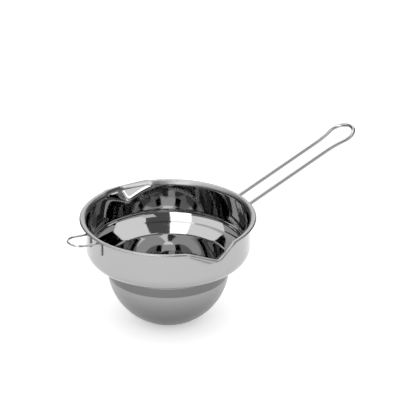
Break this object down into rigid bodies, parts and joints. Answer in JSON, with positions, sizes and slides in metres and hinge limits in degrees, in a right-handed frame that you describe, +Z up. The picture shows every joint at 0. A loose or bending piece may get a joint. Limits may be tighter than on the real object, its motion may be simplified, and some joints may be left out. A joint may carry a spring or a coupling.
{
  "type": "wax melting pot",
  "caption": "Round-bottomed steel melting pot with pouring spouts, a long wire loop handle and a small wire hook, made to sit in a pan of hot water.",
  "frame": {"origin": "centre of the flat base, on its underside", "axes": "+Z up through the bowl, +X along the handle; the spouts point along +Y and -Y and the hook along -X"},
  "size_m": [0.2845, 0.17, 0.1368],
  "materials": {
    "bowl_steel": "deep-drawn stainless sheet, mirror-polished inside and on the wall, satin on the lower bowl",
    "handle_wire": "polished stainless wire",
    "hook_wire": "polished stainless wire"
  },
  "bodies": {
    "root": {"bowl": "bowl_steel", "handle": "handle_wire", "hook": "hook_wire"}
  },
  "joints": []
}
